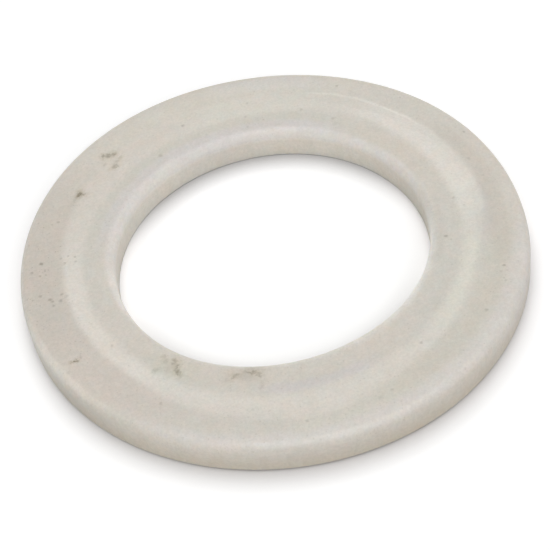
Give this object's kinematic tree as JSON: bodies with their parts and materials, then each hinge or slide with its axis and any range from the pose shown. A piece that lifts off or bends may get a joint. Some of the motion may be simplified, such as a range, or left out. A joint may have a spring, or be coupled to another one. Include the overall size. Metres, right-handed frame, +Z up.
{
  "type": "cistern valve seal",
  "caption": "Flat silicone sealing ring for a toilet cistern's flush valve, with a low sealing bead, a shallow channel and a rounded outer lip on its upper side.",
  "frame": {"origin": "middle of the flat underside, on the ring's axis, at the level of whatever the ring lies on", "axes": "+Z up the ring's axis, out of the side with the bead; X and Y lie in the underside and are free to choose on a round part"},
  "size_m": [0.062, 0.062, 0.0042],
  "materials": {
    "silicone": "soft semi-matt translucent silicone, off-white, lightly stained and specked by use"
  },
  "bodies": {
    "root": {"seal_ring": "silicone"}
  },
  "joints": []
}
